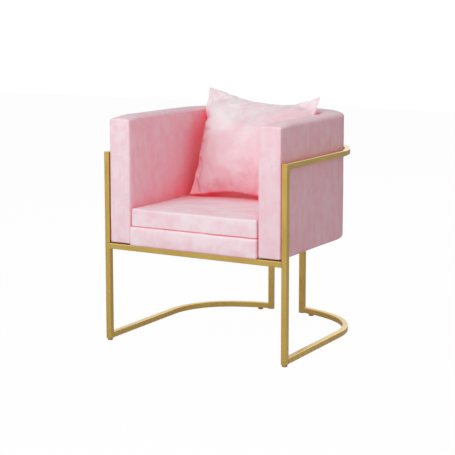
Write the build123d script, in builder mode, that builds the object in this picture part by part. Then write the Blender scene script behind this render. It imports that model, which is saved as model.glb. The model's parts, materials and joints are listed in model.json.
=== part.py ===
"""Upholstered armchair: a padded U-shaped wall and a seat in a frame of square tube.

Millimetres, +Z up, -Y to the front. The origin is on the floor under the middle of the chair.
"""
import os
from math import acos, asin, cos, degrees, radians, sin, sqrt

from build123d import *

# Tube of the frame
tube = 19.0
tube_wall = 1.5
tube_corner = 2.0

# Plan of the frame, to the outside of the tube
frame_width = 680.0
side_length = 404.0
corner_radius = 245.0
back_radius = 429.0

# Heights and places of the frame
leg_top = 638.0
front_rail_top = 333.0
rear_leg_spacing = 127.0
rear_glide_spacing = 208.0

# Glides and caps
glide_height = 7.0
glide_diameter = 18.0
glide_round = 1.5
plug_length = 16.0
stem_diameter = 8.0
stem_length = 9.0
cap_flange = 1.5

# Padded wall of the arms and the back
shell_gap = 3.0
shell_wall = 80.0
shell_top = 757.0
edge_round = 9.0
bottom_round = 6.0
front_round = 8.0

# Layers inside the padded wall
cover = 2.0
board = 3.0
ring_width = 38.0
ring_thickness = 18.0
top_padding = 20.0
arm_padding = 20.0
post_width = 45.0
side_post_y = 260.0
corner_post_angle = 30.0

# Lower, fixed layer of the seat
seat_fit = 1.0
base_proud = 8.0
base_height = 63.5
base_round = 6.0
frame_height = 40.0
frame_rail = 25.0
frame_front = 60.0
strap_width = 50.0
strap_thickness = 1.5
strap_spacing = 80.0
strap_count = 5
dust_cloth = 1.0
dust_margin = 12.0
dust_overlap = 18.0

# Loose seat cushion
cushion_fit = 2.0
cushion_edge = 58.0
cushion_crown_radius = 5200.0
cushion_round = 9.0
zip_thickness = 1.0
zip_width = 7.0
zip_length = 274.0

# Throw pillow
pillow_room = 22.0
pillow_height = 400.0
pillow_thickness = 140.0
pillow_edge = 8.0
pillow_sag = 30.0
pillow_side_sag = 10.0
pillow_tilt = 23.5
pillow_x = 2.0
pillow_foot_y = 333.0
pillow_sections = 9
pillow_zip_length = 260.0
pillow_zip_depth = 3.0
pillow_zip_thickness = 4.0

# Fixings
tab_width = 40.0
tab_length = 30.0
tab_thickness = 3.0
tab_spacing = 180.0
screw_diameter = 5.0
screw_head_diameter = 10.0
screw_head_height = 3.0
tab_screw_grip = 30.0
seat_screw_bite = 26.0
seat_screw_places = (120.0, 300.0)
bolt_diameter = 6.0
bolt_head_diameter = 11.0
bolt_head_height = 3.5
bolt_heights = (400.0, 560.0)
spacer_diameter = 18.0
tee_nut_diameter = 19.0
tee_nut_flange = 1.5
tee_nut_barrel_diameter = 8.0
tee_nut_barrel = 9.0

# Clearances
fit = 0.3
hole_fit = 0.3

# Places worked out from the sizes above
corner_x = frame_width / 2 - corner_radius
turn = degrees(acos(corner_x / (back_radius - corner_radius)))
back_drop = (back_radius - corner_radius) * sin(radians(turn))
frame_depth = side_length - back_drop + back_radius
front_y = (base_proud - frame_depth) / 2
bend_y = front_y + side_length
back_centre_y = bend_y - back_drop
tube_bore = tube - 2 * tube_wall

shell_offset = tube + shell_gap
shell_inside = shell_offset + shell_wall
shell_bottom = front_rail_top + shell_gap
board_offset = shell_offset + cover + fit
ring_offset = board_offset + board + fit
ring_inside = ring_offset + ring_width
foam_offset = ring_inside + fit
foam_inside = shell_inside - cover - fit
padding_y = front_y + cover + fit + arm_padding
frame_end_y = padding_y + fit
lower_ring_z = shell_bottom + cover + fit
upper_ring_z = shell_top - cover - 2 * fit - top_padding - ring_thickness
upper_ring_top = upper_ring_z + ring_thickness

base_offset = shell_inside + seat_fit
base_y = front_y - base_proud
base_top = front_rail_top + base_height
frame_offset = base_offset + cover + fit
frame_y = base_y + cover + fit
frame_z = front_rail_top + cover + fit
frame_top = frame_z + frame_height
webbing_top = frame_top + strap_thickness

cushion_offset = shell_inside + cushion_fit
cushion_z = base_top + fit
cushion_back_y = back_centre_y + back_radius - cushion_offset
cushion_middle_y = (front_y + cushion_back_y) / 2
cushion_half = frame_width / 2 - cushion_offset
cushion_crown = cushion_half**2 / (2 * cushion_crown_radius)
cushion_top = cushion_z + cushion_edge + cushion_crown
crown_centre_z = cushion_top - cushion_crown_radius

rear_leg_angle = degrees(asin(rear_leg_spacing / 2 / (back_radius - tube / 2)))
rear_glide_angle = degrees(asin(rear_glide_spacing / 2 / (back_radius - tube / 2)))


def plan_curve(offset, y_start):
    """U-shaped line, inside the frame's outline by offset, with its open ends at y_start."""
    half = frame_width / 2 - offset
    corner = corner_radius - offset
    Line((-half, y_start), (-half, bend_y))
    CenterArc((-corner_x, bend_y), corner, 180, -turn)
    CenterArc((0, back_centre_y), back_radius - offset, 180 - turn, 2 * turn - 180)
    CenterArc((corner_x, bend_y), corner, turn, -turn)
    Line((half, bend_y), (half, y_start))


def u_band(outside, inside, y_start):
    """Face between two U-shaped lines."""
    with BuildLine() as band_edge:
        plan_curve(outside, y_start)
        plan_curve(inside, y_start)
        for side in (-1, 1):
            outer_end = (side * (frame_width / 2 - outside), y_start)
            inner_end = (side * (frame_width / 2 - inside), y_start)
            Line(outer_end, inner_end)
    make_face(band_edge.edges())


def d_plan(offset, y_start, mode=Mode.ADD):
    """Face inside one U-shaped line, closed by a straight front."""
    half = frame_width / 2 - offset
    with BuildLine() as plan_edge:
        plan_curve(offset, y_start)
        Line((-half, y_start), (half, y_start))
    make_face(plan_edge.edges(), mode=mode)


def back_plane(angle, offset, height, side):
    """Plane at the back, at an angle from the middle, whose normal points in towards the seat."""
    outward = Vector(side * sin(radians(angle)), cos(radians(angle)), 0)
    origin = Vector(0, back_centre_y, height) + outward * (back_radius - offset)
    return Plane(origin=origin, x_dir=(0, 0, 1), z_dir=-outward)


def tube_section():
    """Hollow square section."""
    RectangleRounded(tube, tube, tube_corner)
    RectangleRounded(tube_bore, tube_bore, tube_corner - tube_wall, mode=Mode.SUBTRACT)


def save(part, name):
    """Labels a finished piece and writes it."""
    part.label = name
    export_step(part, f"parts/{name}.step")


def shell_form(inset):
    """Padded wall of the arms and the back, drawn in by inset on every side."""
    with BuildPart() as form:
        with BuildSketch(Plane.XY.offset(shell_bottom + inset)):
            u_band(shell_offset + inset, shell_inside - inset, front_y + inset)
        extrude(amount=shell_top - shell_bottom - 2 * inset)
        front_edges = form.edges().filter_by(Axis.Z).group_by(Axis.Y)[0]
        fillet(front_edges, radius=front_round - inset)
        fillet(form.faces().sort_by(Axis.Z)[-1].edges(), radius=edge_round - inset)
        fillet(form.faces().sort_by(Axis.Z)[0].edges(), radius=bottom_round - inset)
    return form.part


def base_form(inset):
    """Fixed layer of the seat, drawn in by inset on every side."""
    with BuildPart() as form:
        with BuildSketch(Plane.XY.offset(front_rail_top + inset)):
            d_plan(base_offset + inset, base_y + inset)
        extrude(amount=base_height - 2 * inset)
        fillet(form.edges().filter_by(Axis.Z).group_by(Axis.Y)[0], radius=base_round - inset)
        fillet(form.faces().sort_by(Axis.Z)[-1].edges(), radius=base_round - inset)
        fillet(form.faces().sort_by(Axis.Z)[0].edges(), radius=base_round - inset)
    return form.part


def cushion_form(inset):
    """Loose seat cushion with a crowned top, drawn in by inset on every side."""
    with BuildPart() as form:
        with BuildSketch(Plane.XY.offset(cushion_z + inset)):
            d_plan(cushion_offset + inset, front_y + inset)
        extrude(amount=cushion_edge + 2 * cushion_crown)
        with Locations((0, cushion_middle_y, crown_centre_z)):
            Sphere(cushion_crown_radius - inset, mode=Mode.INTERSECT)
        fillet(form.edges().filter_by(Axis.Z).group_by(Axis.Y)[0], radius=cushion_round - inset)
        fillet(form.faces().sort_by(Axis.Z)[-1].edges(), radius=cushion_round - inset)
        fillet(form.faces().sort_by(Axis.Z)[0].edges(), radius=cushion_round - inset)
    return form.part


# Pillow's width between the arms, and its own plane: its middle, with its face towards the front and up
pillow_width = frame_width - 2 * (shell_inside + pillow_room)
foot_y = front_y + pillow_foot_y
foot_reach = (pillow_width / 2 + abs(pillow_x))**2 + (foot_y - cushion_middle_y)**2
foot_z = crown_centre_z + sqrt(cushion_crown_radius**2 - foot_reach) + 2 * fit
lean = radians(pillow_tilt)
pillow_plane = Plane(
    origin=(
        pillow_x,
        foot_y + pillow_height / 2 * sin(lean),
        foot_z + pillow_height / 2 * cos(lean),
    ),
    x_dir=(1, 0, 0),
    z_dir=(0, -cos(lean), sin(lean)),
)
pillow_sag_radius = ((pillow_width / 2)**2 + pillow_sag**2) / (2 * pillow_sag)
pillow_side_radius = ((pillow_height / 2)**2 + pillow_side_sag**2) / (2 * pillow_side_sag)
pillow_edge_centre = pillow_height / 2 - pillow_sag + pillow_sag_radius


def pillow_form(inset):
    """Pillow with pointed corners and drawn-in sides, lofted through lens-shaped sections."""
    half_width = pillow_width / 2 - inset
    with BuildPart() as form:
        for step in range(pillow_sections):
            across = half_width * (2 * step / (pillow_sections - 1) - 1)
            half_height = pillow_edge_centre - sqrt(pillow_sag_radius**2 - across**2) - inset
            swell = (pillow_thickness - pillow_edge) * (1 - (across / half_width)**2)
            half_thickness = (pillow_edge + swell) / 2 - inset
            section_plane = Plane(
                origin=pillow_plane.from_local_coords((across, 0, 0)),
                x_dir=pillow_plane.y_dir,
                z_dir=pillow_plane.x_dir,
            )
            with BuildSketch(section_plane):
                with BuildLine():
                    ThreePointArc((-half_height, 0), (0, half_thickness), (half_height, 0))
                    ThreePointArc((half_height, 0), (0, -half_thickness), (-half_height, 0))
                make_face()
        loft()
        with BuildSketch(pillow_plane):
            for side in (-1, 1):
                with Locations((side * (pillow_width / 2 - pillow_side_sag + pillow_side_radius), 0)):
                    Circle(pillow_side_radius + inset)
        extrude(amount=pillow_thickness, both=True, mode=Mode.SUBTRACT)
    return form.part


os.makedirs("parts", exist_ok=True)
mitre = Plane(origin=(0, front_y, leg_top), x_dir=(1, 0, 0), z_dir=(0, 1, 1))
sides = (("left", -1), ("right", 1))
leg_x = (frame_width - tube) / 2
leg_y = front_y + tube / 2

# Front legs, with open lower ends
for name, side in sides:
    with BuildPart() as front_leg:
        with BuildSketch(Plane.XY.offset(glide_height)):
            with Locations((side * leg_x, leg_y)):
                tube_section()
        extrude(amount=leg_top - glide_height)
        split(bisect_by=mitre, keep=Keep.BOTTOM)
    save(front_leg.part, f"front_leg_{name}")

# Front rail, between the front legs
with BuildPart() as front_rail:
    with BuildSketch(Plane.YZ.offset(tube - frame_width / 2)):
        with Locations((leg_y, front_rail_top - tube / 2)):
            tube_section()
    extrude(amount=frame_width - 2 * tube)
save(front_rail.part, "front_rail")


def bent_tube(height):
    """Solid U-shaped bar with rounded corners, and the bore that goes through it."""
    with BuildPart() as bar:
        with BuildSketch(Plane.XY.offset(height)):
            u_band(0, tube, front_y)
        extrude(amount=tube)
        long_faces = bar.faces().filter_by(Axis.Z)
        fillet(long_faces.edges() - bar.edges().group_by(Axis.Y)[0], radius=tube_corner)
    with BuildPart() as bore:
        with BuildSketch(Plane.XY.offset(height + tube_wall)):
            u_band(tube_wall, tube - tube_wall, front_y)
        extrude(amount=tube_bore)
    return bar.part, bore.part


# Hoop round the padded wall, mitred to the front legs
hoop_bar, hoop_bore = bent_tube(leg_top - tube)
with BuildPart() as back_hoop:
    add(hoop_bar)
    add(hoop_bore, mode=Mode.SUBTRACT)
    split(bisect_by=mitre, keep=Keep.TOP)
save(back_hoop.part, "back_hoop")

# Floor rails, each from a front leg round to a rear leg, with a hole for the glide
rail_bar, rail_bore = bent_tube(glide_height)
for name, side in sides:
    leg_frame = back_plane(rear_leg_angle, tube / 2, 0, side)
    along = Vector(side * cos(radians(rear_leg_angle)), -sin(radians(rear_leg_angle)), 0)
    rail_end = Plane(origin=leg_frame.origin + along * tube / 2, z_dir=along)
    glide_place = back_plane(rear_glide_angle, tube / 2, glide_height, side).origin
    with BuildPart() as floor_rail:
        add(rail_bar)
        add(rail_bore, mode=Mode.SUBTRACT)
        split(bisect_by=rail_end, keep=Keep.TOP)
        split(bisect_by=Plane.XZ.offset(-front_y - tube), keep=Keep.BOTTOM)
        with BuildSketch(Plane.XY.offset(glide_height)):
            with Locations((glide_place.X, glide_place.Y)):
                Circle(stem_diameter / 2 + hole_fit)
        extrude(amount=tube_wall, mode=Mode.SUBTRACT)
    save(floor_rail.part, f"floor_rail_{name}")

# Rear legs, square to the ends of the floor rails, with holes for the bolts
for name, side in sides:
    foot = back_plane(rear_leg_angle, tube / 2, glide_height, side).origin
    with BuildPart() as rear_leg:
        with BuildSketch(Plane.XY.offset(glide_height)):
            with Locations(Location((foot.X, foot.Y, 0), (0, 0, -side * rear_leg_angle))):
                tube_section()
        extrude(amount=leg_top - tube - glide_height)
        with BuildSketch(*[back_plane(rear_leg_angle, 0, height, side) for height in bolt_heights]):
            Circle(bolt_diameter / 2 + hole_fit)
        extrude(amount=tube, mode=Mode.SUBTRACT)
    save(rear_leg.part, f"rear_leg_{name}")

# Plates behind the front rail that carry the seat
tab_places = [(step * tab_spacing, front_y + tube + tab_length / 2) for step in (-1, 0, 1)]
with BuildPart() as front_tabs:
    with BuildSketch(Plane.XY.offset(front_rail_top - tab_thickness)):
        with Locations(*tab_places):
            Rectangle(tab_width, tab_length)
            Circle(screw_diameter / 2 + hole_fit, mode=Mode.SUBTRACT)
    extrude(amount=tab_thickness)
save(front_tabs.part, "front_tabs")

# Screws through the plates into the seat frame
with BuildPart() as tab_screws:
    with BuildSketch(Plane.XY.offset(front_rail_top - tab_thickness)):
        with Locations(*tab_places):
            Circle(screw_head_diameter / 2)
    extrude(amount=-screw_head_height)
    with BuildSketch(Plane.XY.offset(front_rail_top - tab_thickness)):
        with Locations(*tab_places):
            Circle(screw_diameter / 2)
    extrude(amount=tab_screw_grip)
save(tab_screws.part, "tab_screws")

# Glides pushed into the open lower ends of the front legs
with BuildPart() as front_glides:
    front_places = [(side * leg_x, leg_y) for name, side in sides]
    with BuildSketch():
        with Locations(*front_places):
            Circle(glide_diameter / 2)
    extrude(amount=glide_height)
    fillet(front_glides.faces().filter_by(Axis.Z).sort_by(Axis.Z)[:2].edges(), radius=glide_round)
    with BuildSketch(Plane.XY.offset(glide_height)):
        with Locations(*front_places):
            Rectangle(tube_bore - 2 * fit, tube_bore - 2 * fit)
    extrude(amount=plug_length)
save(front_glides.part, "front_glides")

# Glides with stems, pushed into the floor rails beside the rear legs
with BuildPart() as rear_glides:
    rear_places = [back_plane(rear_glide_angle, tube / 2, 0, side).origin for name, side in sides]
    with BuildSketch():
        with Locations(*rear_places):
            Circle(glide_diameter / 2)
    extrude(amount=glide_height)
    fillet(rear_glides.faces().filter_by(Axis.Z).sort_by(Axis.Z)[:2].edges(), radius=glide_round)
    with BuildSketch(Plane.XY.offset(glide_height)):
        with Locations(*rear_places):
            Circle(stem_diameter / 2)
    extrude(amount=stem_length)
save(rear_glides.part, "rear_glides")

# Plugs that close the lower ends of the rear legs
with BuildPart() as rear_leg_caps:
    cap_places = []
    for name, side in sides:
        foot = back_plane(rear_leg_angle, tube / 2, 0, side).origin
        cap_places.append(Location((foot.X, foot.Y, 0), (0, 0, -side * rear_leg_angle)))
    with BuildSketch(Plane.XY.offset(glide_height - cap_flange)):
        with Locations(*cap_places):
            RectangleRounded(tube, tube, tube_corner)
    extrude(amount=cap_flange)
    with BuildSketch(Plane.XY.offset(glide_height)):
        with Locations(*cap_places):
            Rectangle(tube_bore - 2 * fit, tube_bore - 2 * fit)
    extrude(amount=plug_length)
save(rear_leg_caps.part, "rear_leg_caps")


def bolt_planes(offset):
    """Planes across every bolt, inside the back of the frame by offset."""
    return [
        back_plane(rear_leg_angle, offset, height, side)
        for name, side in sides
        for height in bolt_heights
    ]


# Bolts through the rear legs into the posts of the padded wall
with BuildPart() as shell_bolts:
    with BuildSketch(*bolt_planes(0)):
        Circle(bolt_head_diameter / 2)
    extrude(amount=-bolt_head_height)
    with BuildSketch(*bolt_planes(0)):
        Circle(bolt_diameter / 2)
    extrude(amount=ring_inside)
save(shell_bolts.part, "shell_bolts")

# Spacers on the bolts, between the rear legs and the padded wall
with BuildPart() as bolt_spacers:
    with BuildSketch(*bolt_planes(tube)):
        Circle(spacer_diameter / 2)
        Circle(bolt_diameter / 2 + hole_fit, mode=Mode.SUBTRACT)
    extrude(amount=shell_gap)
save(bolt_spacers.part, "bolt_spacers")

# Tee nuts let into the inner faces of the posts
tee_nut_offset = ring_inside - fit
with BuildPart() as tee_nuts:
    with BuildSketch(*bolt_planes(tee_nut_offset)):
        Circle(tee_nut_diameter / 2)
    extrude(amount=-tee_nut_flange)
    with BuildSketch(*bolt_planes(tee_nut_offset - tee_nut_flange)):
        Circle(tee_nut_barrel_diameter / 2)
    extrude(amount=-tee_nut_barrel)
    with BuildSketch(*bolt_planes(0)):
        Circle(bolt_diameter / 2 + hole_fit)
    extrude(amount=shell_inside, mode=Mode.SUBTRACT)
save(tee_nuts.part, "tee_nuts")

# Screw lines from the sides of the seat frame into the lower ring
screw_z = lower_ring_z + ring_thickness / 2
screw_start = frame_width / 2 - frame_offset - frame_rail
screw_end = frame_width / 2 - ring_inside + seat_screw_bite


def seat_screw_planes(start):
    """Planes across every seat screw, at a distance from the middle of the chair."""
    return [
        Plane(origin=(side * start, front_y + place, screw_z), z_dir=(side, 0, 0))
        for name, side in sides
        for place in seat_screw_places
    ]


with BuildPart() as seat_screws:
    with BuildSketch(*seat_screw_planes(screw_start)):
        Circle(screw_head_diameter / 2)
    extrude(amount=-screw_head_height)
    with BuildSketch(*seat_screw_planes(screw_start)):
        Circle(screw_diameter / 2)
    extrude(amount=screw_end - screw_start)
save(seat_screws.part, "seat_screws")

# Room for the seat screws and for the bolts in what they pass through
with BuildPart() as seat_screw_room:
    with BuildSketch(*seat_screw_planes(screw_start)):
        Circle(screw_diameter / 2 + hole_fit)
    extrude(amount=screw_end - screw_start + fit)

with BuildPart() as bolt_room:
    with BuildSketch(*bolt_planes(0)):
        Circle(bolt_diameter / 2 + hole_fit)
    extrude(amount=ring_inside + fit)
    with BuildSketch(*bolt_planes(ring_inside + fit)):
        Circle(tee_nut_diameter / 2 + hole_fit)
    extrude(amount=-tee_nut_flange - 3 * fit)
    with BuildSketch(*bolt_planes(ring_inside)):
        Circle(tee_nut_barrel_diameter / 2 + hole_fit)
    extrude(amount=-tee_nut_flange - tee_nut_barrel - 3 * fit)

with BuildPart() as tab_screw_room:
    with BuildSketch(Plane.XY.offset(front_rail_top)):
        with Locations(*tab_places):
            Circle(screw_diameter / 2 + hole_fit)
    extrude(amount=tab_screw_grip)

# Plywood rings at the bottom and the top of the padded wall
for name, height in (("lower_ring", lower_ring_z), ("upper_ring", upper_ring_z)):
    with BuildPart() as ring:
        with BuildSketch(Plane.XY.offset(height)):
            u_band(ring_offset, ring_inside, frame_end_y)
        extrude(amount=ring_thickness)
        add(seat_screw_room.part, mode=Mode.SUBTRACT)
    save(ring.part, name)

# Posts between the rings: at the arm fronts, along the sides, in the corners and at the rear legs
ring_middle = (ring_offset + ring_inside) / 2
post_places = []
for name, side in sides:
    corner_turn = radians(corner_post_angle)
    corner_reach = corner_radius - ring_middle
    post_x = side * (frame_width / 2 - ring_middle)
    corner_place = (
        side * (corner_x + corner_reach * cos(corner_turn)),
        bend_y + corner_reach * sin(corner_turn),
        0,
    )
    rear_place = back_plane(rear_leg_angle, ring_middle, 0, side).origin
    post_places.append(Location((post_x, frame_end_y + post_width / 2, 0)))
    post_places.append(Location((post_x, front_y + side_post_y, 0)))
    post_places.append(Location(corner_place, (0, 0, side * corner_post_angle)))
    post_places.append(Location((rear_place.X, rear_place.Y, 0), (0, 0, 90 - side * rear_leg_angle)))

with BuildSketch() as post_plan:
    with Locations(*post_places):
        Rectangle(2 * ring_width, post_width)

with BuildPart() as wall_posts:
    with BuildSketch(Plane.XY.offset(lower_ring_z + ring_thickness)):
        u_band(ring_offset, ring_inside, frame_end_y)
        add(post_plan.sketch, mode=Mode.INTERSECT)
    extrude(amount=upper_ring_z - lower_ring_z - ring_thickness)
    add(bolt_room.part, mode=Mode.SUBTRACT)
save(wall_posts.part, "wall_posts")

# Thin board bent round the outside of the posts
with BuildPart() as outer_board:
    with BuildSketch(Plane.XY.offset(shell_bottom + bottom_round)):
        u_band(board_offset, board_offset + board, frame_end_y)
    extrude(amount=upper_ring_top - shell_bottom - bottom_round)
    add(bolt_room.part, mode=Mode.SUBTRACT)
save(outer_board.part, "outer_board")

# Foam on the inside of the posts
with BuildPart() as inner_foam:
    with BuildSketch(Plane.XY.offset(shell_bottom + bottom_round)):
        u_band(foam_offset, foam_inside, frame_end_y)
    extrude(amount=upper_ring_top - shell_bottom - bottom_round)
    add(seat_screw_room.part, mode=Mode.SUBTRACT)
save(inner_foam.part, "inner_foam")

# Foam along the top and foam pads on the arm fronts, which fill the cover
padding_form = shell_form(cover + fit)
with BuildPart() as top_foam:
    add(padding_form)
    split(bisect_by=Plane.XY.offset(upper_ring_top + fit), keep=Keep.TOP)
    split(bisect_by=Plane.XZ.offset(-frame_end_y), keep=Keep.BOTTOM)
save(top_foam.part, "top_foam")

with BuildPart() as arm_pads:
    add(padding_form)
    split(bisect_by=Plane.XZ.offset(-padding_y), keep=Keep.TOP)
save(arm_pads.part, "arm_pads")

# Velvet skin of the padded wall, cut into its sewn panels
shell_outer = shell_form(0)
shell_cavity = shell_form(cover)
panel_y = front_y + front_round
top_seam_z = shell_top - edge_round
with BuildPart() as shell_skin:
    add(shell_outer)
    add(shell_cavity, mode=Mode.SUBTRACT)
    add(bolt_room.part, mode=Mode.SUBTRACT)
    add(seat_screw_room.part, mode=Mode.SUBTRACT)

with BuildPart() as wall_skin:
    add(shell_skin.part)
    split(bisect_by=Plane.XZ.offset(-panel_y), keep=Keep.BOTTOM)
    split(bisect_by=Plane.XY.offset(top_seam_z), keep=Keep.BOTTOM)

with BuildPart() as inside_band:
    with BuildSketch(Plane.XY.offset(shell_bottom + bottom_round)):
        u_band(shell_inside - bottom_round, shell_inside, front_y)
    extrude(amount=shell_top - shell_bottom)

with BuildPart() as outside_cover:
    add(wall_skin.part)
    add(inside_band.part, mode=Mode.SUBTRACT)
save(outside_cover.part, "outside_cover")

with BuildPart() as inside_cover:
    add(wall_skin.part)
    add(inside_band.part, mode=Mode.INTERSECT)
save(inside_cover.part, "inside_cover")

with BuildPart() as top_cover:
    add(shell_skin.part)
    split(bisect_by=Plane.XZ.offset(-panel_y), keep=Keep.BOTTOM)
    split(bisect_by=Plane.XY.offset(top_seam_z), keep=Keep.TOP)
save(top_cover.part, "top_cover")

for name, keep in (("left", Keep.BOTTOM), ("right", Keep.TOP)):
    with BuildPart() as arm_front:
        add(shell_skin.part)
        split(bisect_by=Plane.XZ.offset(-panel_y), keep=Keep.TOP)
        split(bisect_by=Plane.YZ, keep=keep)
    save(arm_front.part, f"arm_front_{name}")

# Wooden seat ring
with BuildPart() as seat_frame:
    with BuildSketch(Plane.XY.offset(frame_z)):
        d_plan(frame_offset, frame_y)
        d_plan(frame_offset + frame_rail, frame_y + frame_front, mode=Mode.SUBTRACT)
    extrude(amount=frame_height)
    add(seat_screw_room.part, mode=Mode.SUBTRACT)
    add(tab_screw_room.part, mode=Mode.SUBTRACT)
    front_corners = seat_frame.edges().filter_by(Axis.Z).group_by(Axis.Y)[0]
    fillet(front_corners, radius=base_round - cover - fit)
    fillet(seat_frame.faces().sort_by(Axis.Z)[0].outer_wire().edges(), radius=base_round - cover - fit)
save(seat_frame.part, "seat_frame")

# Straps across the seat ring
strap_start = frame_y + frame_front / 2
with BuildPart() as seat_webbing:
    with BuildSketch(Plane.XY.offset(frame_top)):
        with Locations(*[(0, strap_start + step * strap_spacing) for step in range(strap_count)]):
            Rectangle(frame_width - 2 * frame_offset - 2 * fit, strap_width)
    extrude(amount=strap_thickness)
save(seat_webbing.part, "seat_webbing")

# Foam over the straps
base_filling = base_form(cover + fit)
with BuildPart() as seat_base_foam:
    add(base_filling)
    split(bisect_by=Plane.XY.offset(webbing_top + fit), keep=Keep.TOP)
save(seat_base_foam.part, "seat_base_foam")

# Velvet cover of the fixed layer, open underneath behind the front tabs
dust_y = front_y + tube + tab_length + seat_fit
base_outer = base_form(0)
base_cavity = base_form(cover)
with BuildPart() as seat_base_cover:
    add(base_outer)
    add(base_cavity, mode=Mode.SUBTRACT)
    add(seat_screw_room.part, mode=Mode.SUBTRACT)
    add(tab_screw_room.part, mode=Mode.SUBTRACT)
    with BuildSketch(Plane.XY.offset(front_rail_top)):
        d_plan(base_offset + dust_margin + dust_overlap, dust_y + dust_overlap)
    extrude(amount=cover, mode=Mode.SUBTRACT)
save(seat_base_cover.part, "seat_base_cover")

# Cloth that closes the underside of the seat
with BuildPart() as dust_cover:
    with BuildSketch(Plane.XY.offset(front_rail_top)):
        d_plan(base_offset + dust_margin, dust_y)
    extrude(amount=-dust_cloth)
save(dust_cover.part, "dust_cover")

# Loose seat cushion: foam core, velvet cover and the zip along its back
cushion_outer = cushion_form(0)
cushion_cavity = cushion_form(cover)
seat_cushion_core = cushion_form(cover + fit)
save(seat_cushion_core, "seat_cushion_core")

with BuildPart() as seat_cushion_cover:
    add(cushion_outer)
    add(cushion_cavity, mode=Mode.SUBTRACT)
save(seat_cushion_cover.part, "seat_cushion_cover")

with BuildPart() as seat_cushion_zip:
    with BuildSketch(Plane.XY.offset(cushion_z + (cushion_edge - zip_width) / 2)):
        u_band(cushion_offset - fit - zip_thickness, cushion_offset - fit, front_y)
        with Locations((0, cushion_back_y)):
            Rectangle(zip_length, frame_depth, mode=Mode.INTERSECT)
    extrude(amount=zip_width)
save(seat_cushion_zip.part, "seat_cushion_zip")

# Throw pillow: filled insert, velvet cover and the zip along its lower seam
pillow_outer = pillow_form(0)
pillow_cavity = pillow_form(cover)
pillow_insert = pillow_form(cover + fit)
save(pillow_insert, "pillow_insert")

with BuildPart() as pillow_cover:
    add(pillow_outer)
    add(pillow_cavity, mode=Mode.SUBTRACT)
save(pillow_cover.part, "pillow_cover")

zip_reach = degrees(asin(pillow_zip_length / 2 / pillow_sag_radius))
with BuildPart() as pillow_zip:
    with BuildSketch(pillow_plane.offset(-pillow_zip_thickness / 2)):
        with BuildLine():
            seam_centre = (0, -pillow_edge_centre)
            near = CenterArc(seam_centre, pillow_sag_radius - fit, 90 - zip_reach, 2 * zip_reach)
            far_radius = pillow_sag_radius - fit - pillow_zip_depth
            far = CenterArc(seam_centre, far_radius, 90 - zip_reach, 2 * zip_reach)
            Line(near @ 0, far @ 0)
            Line(near @ 1, far @ 1)
        make_face()
    extrude(amount=pillow_zip_thickness)
save(pillow_zip.part, "pillow_zip")
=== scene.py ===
"""Looks of the upholstered armchair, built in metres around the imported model.

The padded wall, the seat layers, the pillow and the cloth under the seat are modelled here.
The tube frame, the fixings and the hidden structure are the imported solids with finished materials.
"""
import json
from math import acos, cos, pi, radians, sin

import bmesh
import bpy
import numpy as np
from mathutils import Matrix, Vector, noise
from mathutils.bvhtree import BVHTree


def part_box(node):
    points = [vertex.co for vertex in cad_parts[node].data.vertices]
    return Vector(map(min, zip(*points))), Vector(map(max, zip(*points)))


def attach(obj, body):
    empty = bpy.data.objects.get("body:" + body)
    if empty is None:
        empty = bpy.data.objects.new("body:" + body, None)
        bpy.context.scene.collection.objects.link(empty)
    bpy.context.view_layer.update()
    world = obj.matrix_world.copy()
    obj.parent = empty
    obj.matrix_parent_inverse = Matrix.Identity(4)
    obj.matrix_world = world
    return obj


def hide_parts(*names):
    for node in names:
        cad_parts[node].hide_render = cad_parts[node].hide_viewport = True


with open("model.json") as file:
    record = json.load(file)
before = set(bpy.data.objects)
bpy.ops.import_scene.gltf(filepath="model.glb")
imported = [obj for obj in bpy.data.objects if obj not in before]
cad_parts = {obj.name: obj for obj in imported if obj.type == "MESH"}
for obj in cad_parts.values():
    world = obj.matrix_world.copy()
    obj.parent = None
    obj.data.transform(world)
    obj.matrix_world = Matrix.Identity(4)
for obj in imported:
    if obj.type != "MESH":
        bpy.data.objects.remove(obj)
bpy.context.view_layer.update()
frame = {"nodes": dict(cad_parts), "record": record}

scene = bpy.context.scene

# Plan of the frame, from the hoop's box and the two radii of its bend
corner_radius = 0.245
back_radius = 0.429
hoop_low, hoop_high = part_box("back_hoop")
frame_half = hoop_high.x
front_y = hoop_low.y
back_centre_y = hoop_high.y - back_radius
corner_x = frame_half - corner_radius
turn = acos(corner_x / (back_radius - corner_radius))
bend_y = back_centre_y + (back_radius - corner_radius) * sin(turn)
side_run = bend_y - front_y
corner_run = corner_radius * turn
back_run = back_radius * (pi - 2 * turn)
whole_run = 2 * (side_run + corner_run) + back_run

# Padded wall, from the boxes of its panels
arm_low, arm_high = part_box("arm_front_right")
wall_out = frame_half - arm_high.x
wall_in = frame_half - arm_low.x
wall_bottom = arm_low.z
wall_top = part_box("top_cover")[1].z
wall_middle = (wall_out + wall_in) / 2
wall_half = (wall_in - wall_out) / 2
bottom_round = 0.006
front_round = 0.007
crown = 0.017
crown_front = 0.009
crown_reach = 0.045
crown_power = 3.0
top_seam = wall_top + 0.001 - crown
seam_width = 0.0026
inner_seam = 0.0002
front_seam = 0.0009
cloth_thickness = 0.0016
inside_swell = 0.0012
panel_step = 0.0095
side_step = 0.0115
arm_fullness = 0.0008

# Felt strips on the front rail, kept in from the arms and from the rail's edges
strip_inner_inset = 0.003
strip_outer_inset = 0.001
strip_front_inset = 0.0035
strip_back_inset = 0.001
strip_room = 0.0001

# Seat layers
base_low, base_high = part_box("seat_base_cover")
cushion_low, cushion_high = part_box("seat_cushion_cover")
base_round = 0.006
base_swell = 0.0022
cushion_drop = 0.0045
cushion_top_round = 0.007
cushion_foot_round = 0.0035
cushion_swell = 0.0014
cushion_room = 0.0018
slab_step = 0.008
top_fall = 2.2

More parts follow.
